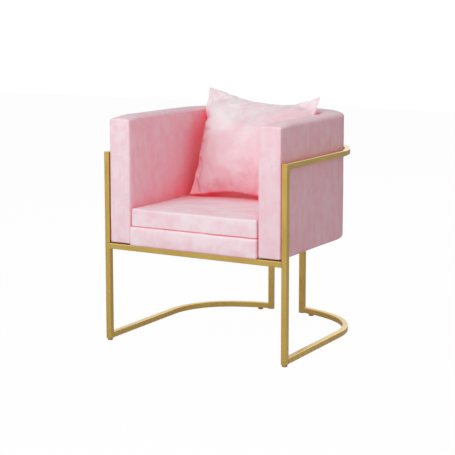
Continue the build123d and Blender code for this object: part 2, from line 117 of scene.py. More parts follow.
# Pillow, in its own plane: across, up and out of its face
pillow_low, pillow_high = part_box("pillow_cover")
pillow_lean = radians(23.5)
ear_left = (-0.231, 0.2055)
ear_right = (0.214, 0.186)
foot_left = (-0.2195, -0.196)
foot_right = (0.216, -0.197)

# Sag of the pillow's edges towards its middle: places along an edge from 0 to 1, and metres
top_sag = (
    (0, 0.1, 0.2, 0.3, 0.43, 0.57, 0.7, 0.79, 0.85, 0.91, 1),
    (0, 0.008, 0.019, 0.030, 0.038, 0.041, 0.042, 0.037, 0.027, 0.018, 0),
)
foot_sag = (
    (0, 0.09, 0.18, 0.27, 0.36, 0.45, 0.54, 0.6, 0.75, 0.9, 1),
    (0, 0.0025, 0.008, 0.015, 0.020, 0.020, 0.015, 0.012, 0.007, 0.002, 0),
)
left_sag = (
    (0, 0.08, 0.17, 0.26, 0.38, 0.5, 0.62, 0.69, 0.8, 0.88, 1),
    (0, 0.006, 0.009, 0.013, 0.010, 0.009, 0.010, 0.014, 0.008, 0.005, 0),
)
right_sag = (
    (0, 0.1, 0.25, 0.4, 0.5, 0.6, 0.75, 0.9, 1),
    (0, 0.005, 0.008, 0.010, 0.009, 0.011, 0.008, 0.005, 0),
)
sag_samples = 201
sag_smoothing = 9

# Pillow's case, its filling and its folds
pillow_width = 0.44
pillow_height = 0.39
pillow_columns = 77
pillow_rows = 69
pillow_belly = 0.128
pillow_pressure = 3.5
pillow_frames = 22
pillow_slack = 0.06
pillow_cap = 0.022
pillow_least = 0.0005
fold_floor = 0.4
# How far the case must stand out of its folds for their painted shading to be full
fold_shade_height = 0.002
ear_reach = 0.045
crease_width = 0.0065
pillow_creases = (
    ((-0.142, -0.088), (-0.113, -0.126), 0.0022),
    ((-0.098, -0.157), (-0.078, -0.173), 0.0025),
    ((-0.056, -0.150), (-0.033, -0.163), 0.0020),
    ((-0.194, 0.044), (-0.158, 0.028), 0.0024),
    ((-0.201, -0.010), (-0.165, -0.030), 0.0018),
    ((0.205, 0.168), (0.150, 0.128), 0.0022),
    ((0.200, 0.150), (0.160, 0.100), 0.0018),
)

# Pillow's zip: where it lies on the lower seam, and its half sizes
pillow_zip_span = (0.2, 0.8)
pillow_zip_rise = 0.012
zip_rings = 261
zip_half_width = 0.0042
zip_half_height = 0.0011
zip_tooth = 0.0004
slider_ring = 12
slider_rings = 4.5
slider_height = 0.0018
slider_pinch = 0.0008

# Cloth under the seat
staple_pitch = 0.042
staple_width = 0.010
staple_wire = 0.0009
hem_width = 0.011
dust_sag = 0.007
dust_thickness = 0.0008
dust_gap = 0.0009
dust_drop = 0.0008
dust_corner = 0.012
dust_step = 0.006
hem_drop = 0.0016
scallop_depth = 0.0009
scallop_reach = 0.02
border_width = 0.023
staple_inset = 0.0055
staple_leg = 0.0022
staple_bend = 0.0008
staple_sink = 0.0003


def outline(run):
    """Points on the frame's outline at runs from its left front end, and the outward normals there."""
    run = np.asarray(run, float)
    side = np.where(run > whole_run / 2, 1.0, -1.0)
    reach = whole_run / 2 - np.abs(run - whole_run / 2)
    on_side = reach < side_run
    on_corner = ~on_side & (reach < side_run + corner_run)
    corner_angle = (reach - side_run) / corner_radius
    back_angle = turn + (reach - side_run - corner_run) / back_radius
    angle = np.select([on_side, on_corner], [0.0 * reach, corner_angle], back_angle)
    radius = np.where(on_side | on_corner, corner_radius, back_radius)
    centre_x = np.where(on_side | on_corner, corner_x, 0.0)
    centre_y = np.select([on_side, on_corner], [front_y + reach, bend_y + 0.0 * reach], back_centre_y)
    x = centre_x + radius * np.cos(angle)
    y = centre_y + radius * np.sin(angle)
    return side * x, y, side * np.cos(angle), np.sin(angle)


def bend(run, offset, height):
    """Points at runs along the outline, inside it by offsets, at heights: arrays of one shape."""
    x, y, nx, ny = outline(run)
    return np.stack([x - nx * offset, y - ny * offset, height], axis=-1)


def seam_dip(distance, depth):
    """How far cloth is drawn in at a distance from a seam."""
    return depth * np.exp(-(distance / seam_width) ** 2)


def spaced(start, end, step, fine_start=True, fine_end=True):
    """Values from start to end, with close ones where a seam or a corner needs them."""
    length = end - start
    near = np.array([0.0, 0.0012, 0.0025, 0.0042, 0.0068])
    count = max(2, round((length - 2 * near[-1]) / step))
    first = near if fine_start else near[[0, -1]]
    last = near if fine_end else near[[0, -1]]
    middle = np.linspace(near[-1], length - near[-1], count + 1)[1:-1]
    return start + np.concatenate([first, middle, length - last[::-1]])


def unevenness(points, wavelength, seed):
    """Smooth noise in -1 to 1 at each point."""
    flat = points.reshape(-1, 3)
    shift = Vector((seed * 3.1, seed * 1.7, seed * 2.3))
    values = [noise.noise(Vector(p) / wavelength + shift) for p in flat]
    return np.array(values).reshape(points.shape[:-1])


def waviness(points, *waves):
    """Sum of smooth noises at each point, each with its height, wavelength and seed."""
    return sum(height * unevenness(points, wavelength, seed) for height, wavelength, seed in waves)


def mesh_piece(name, points, faces):
    """New object from points and faces, shaded smooth."""
    mesh = bpy.data.meshes.new(name)
    mesh.from_pydata([tuple(p) for p in points], [], faces)
    mesh.validate()
    for polygon in mesh.polygons:
        polygon.use_smooth = True
    piece = bpy.data.objects.new(name, mesh)
    scene.collection.objects.link(piece)
    return piece


def grid_faces(rows, columns, flip=False):
    """Quads of a grid of points."""
    faces = []
    for r in range(rows - 1):
        for c in range(columns - 1):
            a = r * columns + c
            quad = (a, a + columns, a + columns + 1, a + 1)
            faces.append(quad[::-1] if flip else quad)
    return faces


def loop_faces(rings, count, flip=False):
    """Quads between closed rings of points."""
    faces = []
    for r in range(rings - 1):
        for c in range(count):
            a = r * count + c
            b = r * count + (c + 1) % count
            quad = (a, b, b + count, a + count)
            faces.append(quad[::-1] if flip else quad)
    return faces


def merge_close(piece, distance=0.00005):
    """Joins points that lie together, such as those of a closed-up ring."""
    edit = bmesh.new()
    edit.from_mesh(piece.data)
    bmesh.ops.remove_doubles(edit, verts=edit.verts, dist=distance)
    bmesh.ops.dissolve_degenerate(edit, edges=edit.edges, dist=distance)
    bmesh.ops.recalc_face_normals(edit, faces=edit.faces)
    edit.to_mesh(piece.data)
    edit.free()


def apply_modifiers(piece):
    """Makes the piece's modifiers part of its mesh."""
    graph = bpy.context.evaluated_depsgraph_get()
    mesh = bpy.data.meshes.new_from_object(piece.evaluated_get(graph))
    piece.modifiers.clear()
    old = piece.data
    piece.data = mesh
    bpy.data.meshes.remove(old)
    mesh.name = piece.name
    for polygon in mesh.polygons:
        polygon.use_smooth = True
    mesh.set_sharp_from_angle(angle=radians(50))


def give_thickness(piece, thickness):
    """Closes an open sheet into a thin solid, inwards."""
    modifier = piece.modifiers.new("cloth", "SOLIDIFY")
    modifier.thickness = thickness
    modifier.offset = -1
    apply_modifiers(piece)


def crown_height(depth):
    """Height of the wall's top above its seams, lower close to the arm front."""
    return crown - (crown - crown_front) * np.exp(-(depth / crown_reach) ** 2)


# Section of the wall: each panel is a list of offsets, heights and inward directions
def side_heights():
    """Distances down a side of the section from its seam."""
    return spaced(0, top_seam - wall_bottom - bottom_round, side_step, True, False)


def outside_profile():
    """From the outer seam down, round under the wall and up to the lower inside edge."""
    down = side_heights()
    offsets = [wall_out + 0 * down]
    heights = [top_seam - down]
    inward = [np.stack([1 + 0 * down, 0 * down], -1)]
    turns = np.linspace(0, pi / 2, 6)[1:]
    under = np.linspace(wall_out + bottom_round, wall_in - bottom_round, 8)[1:]
    offsets.append(wall_out + bottom_round * (1 - np.cos(turns)))
    heights.append(wall_bottom + bottom_round * (1 - np.sin(turns)))
    inward.append(np.stack([np.cos(turns), np.sin(turns)], -1))
    offsets.append(under)
    heights.append(wall_bottom + 0 * under)
    inward.append(np.stack([0 * under, 1 + 0 * under], -1))
    offsets.append(wall_in - bottom_round * (1 - np.sin(turns)))
    heights.append(wall_bottom + bottom_round * (1 - np.cos(turns)))
    inward.append(np.stack([-np.sin(turns), np.cos(turns)], -1))
    return np.concatenate(offsets), np.concatenate(heights), np.concatenate(inward)


def inside_profile():
    """From the lower inside edge up to the inner seam."""
    heights = top_seam - side_heights()[::-1]
    inward = np.stack([-1 + 0 * heights, 0 * heights], -1)
    return wall_in + 0 * heights, heights, inward


def top_profile(count=29):
    """Across the top from the inner seam to the outer one: places across and shares of the crown."""
    turns = np.linspace(0, pi, count)
    across = np.sign(np.cos(turns)) * np.abs(np.cos(turns)) ** 0.8
    share = (1 - np.abs(across) ** crown_power) ** (1 / crown_power)
    return across, share


def wall_runs():
    """Runs along the outline of the wall's panels, between the arm fronts' seams."""
    half = spaced(front_round, whole_run / 2, panel_step, True, False)
    return np.concatenate([half, (whole_run - half)[::-1][1:]])


def front_distance(run):
    """Distance back from the nearer arm front's seam."""
    return np.minimum(run, whole_run - run) - front_round


def wall_grid(run, offset, height):
    """Runs of a wall panel's points, and the points before seams and waves: a row for each run."""
    shape = (len(run), offset.shape[-1])
    runs = np.broadcast_to(run[:, None], shape)
    return runs, bend(runs, np.broadcast_to(offset, shape), np.broadcast_to(height, shape))


def wall_panel(name, points):
    """Piece from a wall panel's rows of points."""
    piece = mesh_piece(name, points.reshape(-1, 3), grid_faces(*points.shape[:2]))
    merge_close(piece)
    return piece


def build_outside():
    """Velvet round the outside of the wall and under it."""
    offset, height, inward = outside_profile()
    run = wall_runs()
    runs, rough = wall_grid(run, offset, height)
    dip = seam_dip(front_distance(run), front_seam)[:, None]
    dip = dip + waviness(rough, (0.0006, 0.13, 1), (0.0002, 0.04, 2))
    return wall_panel("outside_panel", bend(runs, offset + dip * inward[:, 0], height + dip * inward[:, 1]))


def build_inside():
    """Velvet over the foam on the inside of the wall."""
    offset, height, inward = inside_profile()
    run = wall_runs()
    runs, rough = wall_grid(run, offset, height)
    to_seam = height[-1] - height
    above_seat = np.clip((height - cushion_high.z) / (height[-1] - cushion_high.z), 0, 1)
    swell = inside_swell * np.sin(pi * above_seat) ** 0.7
    dip = seam_dip(front_distance(run), front_seam)[:, None] + seam_dip(to_seam, inner_seam)[None, :]
    soften = 1 - np.exp(-(front_distance(run) / 0.03) ** 2)
    wavy = waviness(rough, (0.0005, 0.12, 3), (0.0002, 0.05, 4))
    dip = dip + soften[:, None] * (above_seat * wavy - swell[None, :])
    return wall_panel("inside_panel", bend(runs, offset + dip * inward[:, 0], height + dip * inward[:, 1]))


def build_top():
    """Velvet band over the top of the wall, crowned and drawn down to the arm fronts."""
    across, share = top_profile()
    run = wall_runs()
    offset = wall_middle + wall_half * across
    height = top_seam + crown_height(front_distance(run) + front_round)[:, None] * share[None, :]
    runs, rough = wall_grid(run, offset, height)
    dip = seam_dip(front_distance(run), front_seam)[:, None] * share[None, :]
    dip = dip + share * waviness(rough, (0.0011, 0.11, 5), (0.0003, 0.045, 6))
    pull = np.where(across > 0, seam_dip(share * crown, inner_seam), 0.0)
    return wall_panel("top_band", bend(runs, offset - pull, height - dip))


def arm_section():
    """Closed section of the wall at an arm front's seam: offsets and heights."""
    outer = outside_profile()
    inner = inside_profile()
    across, share = top_profile()
    top_offset = wall_middle + wall_half * across
    top_height = top_seam + crown_height(front_round) * share
    offset = np.concatenate([outer[0], inner[0][1:], top_offset[1:-1]])
    height = np.concatenate([outer[1], inner[1][1:], top_height[1:-1]])
    return offset, height


def build_arm_front(name, side):
    """Velvet panel over the front of an arm, rolled back to its seam."""
    offset, height = arm_section()
    from_foot = np.clip(1 - (height - height.min()) / wall_half, 0, 1)
    from_head = np.clip(1 - (height.max() - height) / wall_half, 0, 1)
    steps = []
    for angle in np.linspace(0, pi / 2, 9):
        inset = front_round * (1 - cos(angle)) + seam_dip(front_round * angle, front_seam)
        steps.append((inset, front_round * (1 - sin(angle))))
    for share in np.linspace(0, 1, 15)[1:]:
        inset = front_round + (wall_half - front_round) * share
        steps.append((inset, -arm_fullness * sin(min(share * 1.6, 1) * pi / 2) ** 2))
    rings = []
    for inset, depth in steps:
        x = frame_half - wall_middle - (offset - wall_middle) * (1 - inset / wall_half)
        z = height + inset * (from_foot - from_head)
        rings.append(np.column_stack([side * x, np.full(len(x), front_y + depth), z]))
    points = np.concatenate(rings)
    points[:, 1] += waviness(points, (0.0007, 0.09, 7 + side))
    piece = mesh_piece(name, points, loop_faces(len(rings), len(offset), side < 0))
    merge_close(piece)
    return piece


def seat_loop(offset, start_y, radius, step):
    """Closed plan line inside the wall with rounded front corners, and its inward directions."""
    first = start_y + radius - front_y
    run = np.arange(first, whole_run / 2, step)
    run = np.concatenate([run, (whole_run - run)[::-1]])
    x, y, nx, ny = outline(run)
    half = frame_half - offset
    turns = np.linspace(0, pi / 2, 7)[1:]
    corner = np.stack([half - radius * (1 - np.cos(turns)), start_y + radius * (1 - np.sin(turns))], -1)
    corner_inward = np.stack([-np.cos(turns), np.sin(turns)], -1)
    mirrored = np.array([-1, 1])
    across = np.arange(half - radius - step, -half + radius, -step)
    places = np.concatenate([
        np.stack([x - nx * offset, y - ny * offset], -1), corner,
        np.stack([across, start_y + 0 * across], -1), corner[::-1] * mirrored,
    ])
    inward = np.concatenate([
        np.stack([-nx, -ny], -1), corner_inward,
        np.stack([0 * across, 1 + 0 * across], -1), corner_inward[::-1] * mirrored,
    ])
    return places, inward


def build_strip(name, side):
    """Soft strip on the front rail under an arm, slightly uneven, with rounded edges."""
    inner = frame_half - wall_in + strip_inner_inset
    outer = frame_half - wall_out - strip_outer_inset
    near, far = rail_low.y + strip_front_inset, rail_high.y - strip_back_inset
    across = np.linspace(inner, outer, 34)
    turns = np.linspace(0, 2 * pi, 28, endpoint=False)
    middle_y, half_y = (near + far) / 2, (far - near) / 2
    middle_z, half_z = (rail_high.z + wall_bottom) / 2, (wall_bottom - rail_high.z) / 2 - strip_room
    wide = np.sign(np.cos(turns)) * np.abs(np.cos(turns)) ** 0.3
    tall = np.sign(np.sin(turns)) * np.abs(np.sin(turns)) ** 0.5
    rings = []
    for i, x in enumerate(across):
        end = min(i, len(across) - 1 - i)
        pinch = (0.0, 0.8, 1.0)[min(end, 2)]
        y = middle_y + half_y * wide * (pinch if end == 0 else 1)
        rings.append(np.column_stack([np.full(len(turns), side * x), y, middle_z + half_z * tall * pinch]))
    points = np.concatenate(rings)
    points[:, 1] += waviness(points, (0.0004, 0.02, 31))
    piece = mesh_piece(name, points, loop_faces(len(across), len(turns)))
    merge_close(piece)
    return piece


def build_slab(name, low, high, foot_round, top_round, swell, drop, room, seed):
    """Padded seat layer with rounded edges, a full front and a top that falls by drop to its edges."""
    offset = frame_half - high.x + room
    corner = max(foot_round, top_round)
    loop, inward = seat_loop(offset, low.y, corner, slab_step)
    middle = np.array([0.0, (low.y + high.y) / 2])
    turns = np.linspace(0, pi / 2, 7)
    side_z = np.linspace(low.z + foot_round, high.z - top_round, 10)[1:-1]
    front = np.maximum(inward[:, 1], 0) ** 2 * (loop[:, 1] < bend_y)
    front *= 1 - np.clip(np.abs(loop[:, 0]) / high.x, 0, 1) ** 8
    rings = []

    def add(inset, z):
        share = (z - low.z) / (high.z - low.z)
        ring = loop + inward * (inset - swell * sin(pi * share) * front)[:, None]
        rings.append(np.column_stack([ring, np.full(len(ring), z - drop * share)]))

    edge = loop + inward * foot_round
    for share in (0.0, 0.35, 0.7, 0.93):
        ring = middle + (edge - middle) * share
        rings.append(np.column_stack([ring, np.full(len(ring), low.z)]))
    for a in turns:
        add(foot_round * (1 - sin(a)), low.z + foot_round * (1 - cos(a)))
    for z in side_z:
        add(0.0, z)
    for a in turns:
        add(top_round * (1 - cos(a)), high.z - top_round * (1 - sin(a)))
    edge = loop + inward * top_round
    for share in np.linspace(1, 0, 24)[1:]:
        ring = middle + (edge - middle) * share
        rings.append(np.column_stack([ring, np.full(len(ring), high.z - drop * share ** top_fall)]))
    points = np.concatenate(rings)
    wavy = waviness(points, (0.0011, 0.10, seed), (0.0006, 0.045, seed + 1))
    upper = np.clip((points[:, 2] - low.z - 0.03) / 0.03, 0, 1)
    points[:, 2] += upper * (wavy - 0.0006)
    points[:, 1] += 0.7 * wavy * (points[:, 1] < low.y + 0.004)
    piece = mesh_piece(name, points, loop_faces(len(rings), len(loop)))
    merge_close(piece)
    return piece


def vertices(piece):
    """Coordinates of a piece's points."""
    flat = np.zeros(len(piece.data.vertices) * 3)
    piece.data.vertices.foreach_get("co", flat)
    return flat.reshape(-1, 3)


def set_vertices(piece, points):
    """Moves a piece's points."""
    piece.data.vertices.foreach_set("co", np.ascontiguousarray(points, float).ravel())
    piece.data.update()


def simulate(piece, pinned, pressure, frames, slack):
    """Swells a piece with a short cloth simulation, its seam held, and returns where its points end."""
    group = piece.vertex_groups.new(name="seam")
    group.add([int(i) for i in pinned], 1.0, "REPLACE")
    modifier = piece.modifiers.new("swell", "CLOTH")
    settings = modifier.settings
    settings.quality = 5
    settings.tension_stiffness = 15.0
    settings.compression_stiffness = 15.0
    settings.shear_stiffness = 5.0
    settings.bending_stiffness = 0.2
    settings.shrink_min = -slack
    settings.vertex_group_mass = "seam"
    settings.use_pressure = True
    settings.uniform_pressure_force = pressure
    settings.effector_weights.gravity = 0
    modifier.point_cache.frame_start = 1
    modifier.point_cache.frame_end = frames
    for step in range(1, frames + 1):
        scene.frame_set(step)
    graph = bpy.context.evaluated_depsgraph_get()
    points = vertices(piece.evaluated_get(graph))
    piece.modifiers.clear()
    piece.vertex_groups.clear()
    scene.frame_set(1)
    return points


def sag_at(places, table):
    """Smoothed sag in metres at places from 0 to 1 along an edge."""
    half = sag_smoothing
    dense = np.linspace(0, 1, sag_samples)
    values = np.interp(dense, *table)
    window = np.hanning(2 * half + 1)
    padded = np.concatenate([-values[half:0:-1], values, -values[-2:-half - 2:-1]])
    smooth = np.convolve(padded, window / window.sum(), "valid")
    return np.interp(places, dense, smooth)


def pillow_case():
    """Two sheets sewn together round the pillow's outline, in its own plane, and the seam's points."""
    rows, columns = pillow_rows, pillow_columns
    s, t = np.meshgrid(np.linspace(0, 1, columns), np.linspace(0, 1, rows))
    corners = [np.array(p) for p in (foot_left, foot_right, ear_left, ear_right)]
    foot = corners[0] + (corners[1] - corners[0]) * s[..., None]
    foot[..., 1] += sag_at(s, foot_sag)
    head = corners[2] + (corners[3] - corners[2]) * s[..., None]
    head[..., 1] -= sag_at(s, top_sag)
    left = corners[0] + (corners[2] - corners[0]) * t[..., None]
    left[..., 0] += sag_at(t, left_sag)
    right = corners[1] + (corners[3] - corners[1]) * t[..., None]
    right[..., 0] -= sag_at(t, right_sag)
    s3, t3 = s[..., None], t[..., None]
    flat = foot * (1 - t3) + head * t3 + left * (1 - s3) + right * s3
    flat -= corners[0] * (1 - s3) * (1 - t3) + corners[1] * s3 * (1 - t3)
    flat -= corners[2] * (1 - s3) * t3 + corners[3] * s3 * t3
    fill = (4 * s * (1 - s)) ** 0.62 * (4 * t * (1 - t)) ** 0.62
    sheet = np.concatenate([flat, (fill * pillow_belly / 2)[..., None]], -1).reshape(-1, 3)
    faces = grid_faces(rows, columns, True)
    index = np.arange(rows * columns).reshape(rows, columns)
    inner = index[1:-1, 1:-1].ravel()
    back_index = index.ravel().copy()
    back_index[inner] = rows * columns + np.arange(len(inner))
    back = sheet[inner] * np.array([1, 1, -1])
    faces += [tuple(back_index[i] for i in face[::-1]) for face in faces]
    seam = np.setdiff1d(index.ravel(), inner)
    shares = np.stack([s, t], -1).reshape(-1, 2)
    shares = np.concatenate([shares, shares[inner]])
    return mesh_piece("throw_pillow_pad", np.concatenate([sheet, back]), faces), seam, shares


def ease(distance, reach):
    """Strength of a pucker at a distance from its seam: none on it, most close to it, then fading."""
    return (1 - np.exp(-distance / (0.15 * reach))) * np.exp(-(distance / reach) ** 2)


def pillow_folds(points, shares):
    """How far the case stands out: puckers along its seams, pleats at its ears and drawn-in creases."""
    s, t = shares[:, 0], shares[:, 1]
    across, up = pillow_width * s, pillow_height * t
    strength = 0.55 + 0.75 * unevenness(points * np.array([1, 1, 0]), 0.035, 41)
    height = np.zeros(len(points))
    for distance, along, pitch, slant, reach, depth in (
        (pillow_height - up, across, 0.027, 1.3, 0.045, 0.0036),
        (up, across, 0.034, -0.8, 0.032, 0.0018),
        (across, up, 0.038, 0.7, 0.036, 0.0030),
        (pillow_width - across, up, 0.036, -0.7, 0.036, 0.0028),
    ):
        wave = np.cos(2 * pi * (along + slant * distance) / pitch)
        height += depth * strength * ease(distance, reach) * wave
    for corner, start, end, pleats, depth in (
        (ear_right, pi, 1.5 * pi, 3.5, 0.0018),
        (ear_left, 1.5 * pi, 2 * pi, 3.0, 0.00132),
    ):
        out = points[:, :2] - np.array(corner)
        turned = (np.arctan2(out[:, 1], out[:, 0]) % (2 * pi) - start) / (end - start)
        away = np.hypot(out[:, 0], out[:, 1]) / ear_reach
        height += depth * away * np.exp(1 - away) * np.sin(2 * pi * pleats * turned)
    for start, end, depth in pillow_creases:
        start, end = np.array(start), np.array(end)
        line = end - start
        place = np.clip(((points[:, :2] - start) @ line) / (line @ line), 0, 1)
        gap = np.linalg.norm(points[:, :2] - start - place[:, None] * line, axis=1)
        height -= depth * np.exp(-(gap / crease_width) ** 2) * np.where(points[:, 2] > 0, 1, 0)
    return height


def folded(height, folds, seam):
    """Heights of the case's points with its folds, which never take a sheet through the other one."""
    front = (len(height) + len(seam)) // 2
    side = np.where(np.arange(len(height)) < front, 1, -1)
    depth = np.maximum(side * height, pillow_least)
    share = folds / depth
    room = 1 - fold_floor
    kept = np.where(share > 0, 1 + share, fold_floor + room * np.exp(np.minimum(share, 0) / room))
    result = side * depth * kept
    result[seam] = height[seam]
    return result


def pillow_place(points):
    """Points of the pillow's own plane put where it leans against the back."""
    up = np.array([0, sin(pillow_lean), cos(pillow_lean)])
    out = np.array([0, -cos(pillow_lean), sin(pillow_lean)])
    middle = np.array((pillow_low + pillow_high) / 2)
    return middle + np.array([1.0, 0, 0]) * points[:, :1] + up * points[:, 1:2] + out * points[:, 2:]


def build_pillow():
    """Throw pillow: a sewn case swelled by its filling, leaning against the back."""
    piece, seam, shares = pillow_case()
    points = vertices(piece)
    move = simulate(piece, seam, pillow_pressure, pillow_frames, pillow_slack) - points
    length = np.maximum(np.linalg.norm(move, axis=1), 1e-9)[:, None]
    points = points + move * pillow_cap * np.tanh(length / pillow_cap) / length
    folds = pillow_folds(points, shares)
    points[:, 2] = folded(points[:, 2], folds, seam)
    set_vertices(piece, pillow_place(points))
    # Painted shading of the folds, partly laid pile: how far each point stands out of the folds, which the
    # velvet paints paler on ridges and darker in hollows.
    nap_and_fold_shade = piece.data.attributes.new("nap_and_fold_shade", "FLOAT", "POINT")
    nap_and_fold_shade.data.foreach_set("value", np.clip(folds / fold_shade_height, -1, 1))
    finer = piece.modifiers.new("finer", "SUBSURF")
    finer.levels = finer.render_levels = 1
    apply_modifiers(piece)
    return piece


def build_pillow_zip(pad):
    """Closed zip behind the pillow's lower seam: a tape with raised teeth, its slider at one end."""
    place = np.linspace(*pillow_zip_span, zip_rings)
    line = np.array(foot_left) + (np.array(foot_right) - np.array(foot_left)) * place[:, None]
    line[:, 1] += sag_at(place, foot_sag) + pillow_zip_rise
    starts = pillow_place(np.column_stack([line, np.full(len(line), -pillow_belly)]))
    out = Vector((0, -cos(pillow_lean), sin(pillow_lean)))
    surface = BVHTree.FromPolygons([p.co for p in pad.data.vertices], [p.vertices for p in pad.data.polygons])
    hits = [surface.ray_cast(Vector(p), out)[:2] for p in starts]
    spots = np.array([hit[0] for hit in hits])
    away = np.array([hit[1] for hit in hits])
    window = np.hanning(15) / np.hanning(15).sum()
    for values in (spots, away):
        for axis in range(3):
            values[7:-7, axis] = np.convolve(values[:, axis], window, "valid")
    away /= np.linalg.norm(away, axis=1)[:, None]
    along = np.gradient(spots, axis=0)
    along /= np.linalg.norm(along, axis=1)[:, None]
    side = np.cross(along, away)
    turns = np.linspace(0, 2 * pi, 16, endpoint=False)
    rings = []
    for i, spot in enumerate(spots):
        end = min(i, len(spots) - 1 - i)
        size = (0.0, 0.7, 1.0)[min(end, 2)]
        slider = np.exp(-((i - slider_ring) / slider_rings) ** 4)
        wide = (zip_half_width - slider_pinch * slider) * size * np.cos(turns)
        tall = (zip_half_height + zip_tooth * (i % 2) + slider_height * slider) * size * np.sin(turns)
        rings.append(spot + side[i] * wide[:, None] + away[i] * tall[:, None])
    piece = mesh_piece("pillow_zip_strip", np.concatenate(rings), loop_faces(len(rings), len(turns)))
    merge_close(piece)
    return piece


def build_dust_cloth():
    """Thin cloth under the seat: a turned hem, small scallops between its staples and a slight sag."""
    low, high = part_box("dust_cover")
    loop, inward = seat_loop(frame_half - high.x, low.y, dust_corner, dust_step)
    middle = np.array([0.0, (low.y + high.y) / 2])
    step = np.linalg.norm(np.roll(loop, -1, 0) - loop, axis=1)
    along = np.concatenate([[0], np.cumsum(step)[:-1]])
    count = round(step.sum() / staple_pitch)
    scallop = 0.5 - 0.5 * np.cos(2 * pi * count * along / step.sum())
    top = low.z + dust_gap
    rings = []
    hem_insets = (0.0, 0.0015, 0.0045, 0.0075, hem_width - 0.001)
    for inset in (*hem_insets, hem_width, hem_width + 0.0015, 0.017, border_width):
        drop = hem_drop if inset in hem_insets else dust_drop
        ring = loop + inward * inset
        pulled = scallop_depth * scallop * np.exp(-inset / scallop_reach)
        rings.append(np.column_stack([ring, top - drop - pulled]))
    edge = loop + inward * border_width
    for share in np.linspace(1, 0, 22)[1:]:
        ring = middle + (edge - middle) * share
        sag = dust_sag * (1 - share ** 2) ** 1.3
        rings.append(np.column_stack([ring, top - dust_drop - sag - pulled * share ** 6]))
    points = np.concatenate(rings)
    inner = np.clip((np.linalg.norm(points[:, :2] - middle, axis=1) - 0.19) / -0.05, 0, 1)
    points[:, 2] -= 0.0007 * inner * (1 + unevenness(points, 0.07, 51))
    piece = mesh_piece("dust_cloth", points, loop_faces(len(rings), len(loop), True))
    merge_close(piece)
    area = sum(polygon.area for polygon in piece.data.polygons)
    give_thickness(piece, dust_thickness)
    starts = np.searchsorted(along, np.arange(count) * step.sum() / count)
    spots = [(loop[i] + inward[i] * staple_inset, inward[i]) for i in np.minimum(starts, len(loop) - 1)]
    return piece, area, build_staples(spots, top - hem_drop)


def build_staples(spots, level):
    """Bent wire staples at places under the seat, each along its edge."""
    half, turn_in, wire = staple_width / 2, staple_bend, staple_wire / 2
    path = [(-half, staple_leg), (-half, turn_in)]
    path += [(-half + 0.3 * turn_in, 0.3 * turn_in), (-half + turn_in, 0.0)]
    path += [(-x, z) for x, z in path[::-1]]
    turns = np.linspace(0, 2 * pi, 8, endpoint=False)
    points, faces = [], []
    for spot, inward in spots:
        across = np.array([-inward[1], inward[0]])
        first = len(points)
        for i, (x, z) in enumerate(path):
            before, after = path[max(i - 1, 0)], path[min(i + 1, len(path) - 1)]
            lead = np.array([after[0] - before[0], after[1] - before[1]])
            lead /= np.linalg.norm(lead)
            for a in turns:
                x_out = x - wire * cos(a) * lead[1]
                z_out = z + wire * cos(a) * lead[0]
                flat = spot + across * x_out + inward * wire * sin(a)
                points.append((flat[0], flat[1], level - staple_sink + z_out))
        faces += [tuple(first + i for i in face) for face in loop_faces(len(path), len(turns))]
        faces.append(tuple(first + i for i in range(len(turns)))[::-1])
        faces.append(tuple(first + (len(path) - 1) * len(turns) + i for i in range(len(turns))))
    piece = mesh_piece("dust_cloth_staples", points, faces)
    merge_close(piece, 0.00001)
    return piece


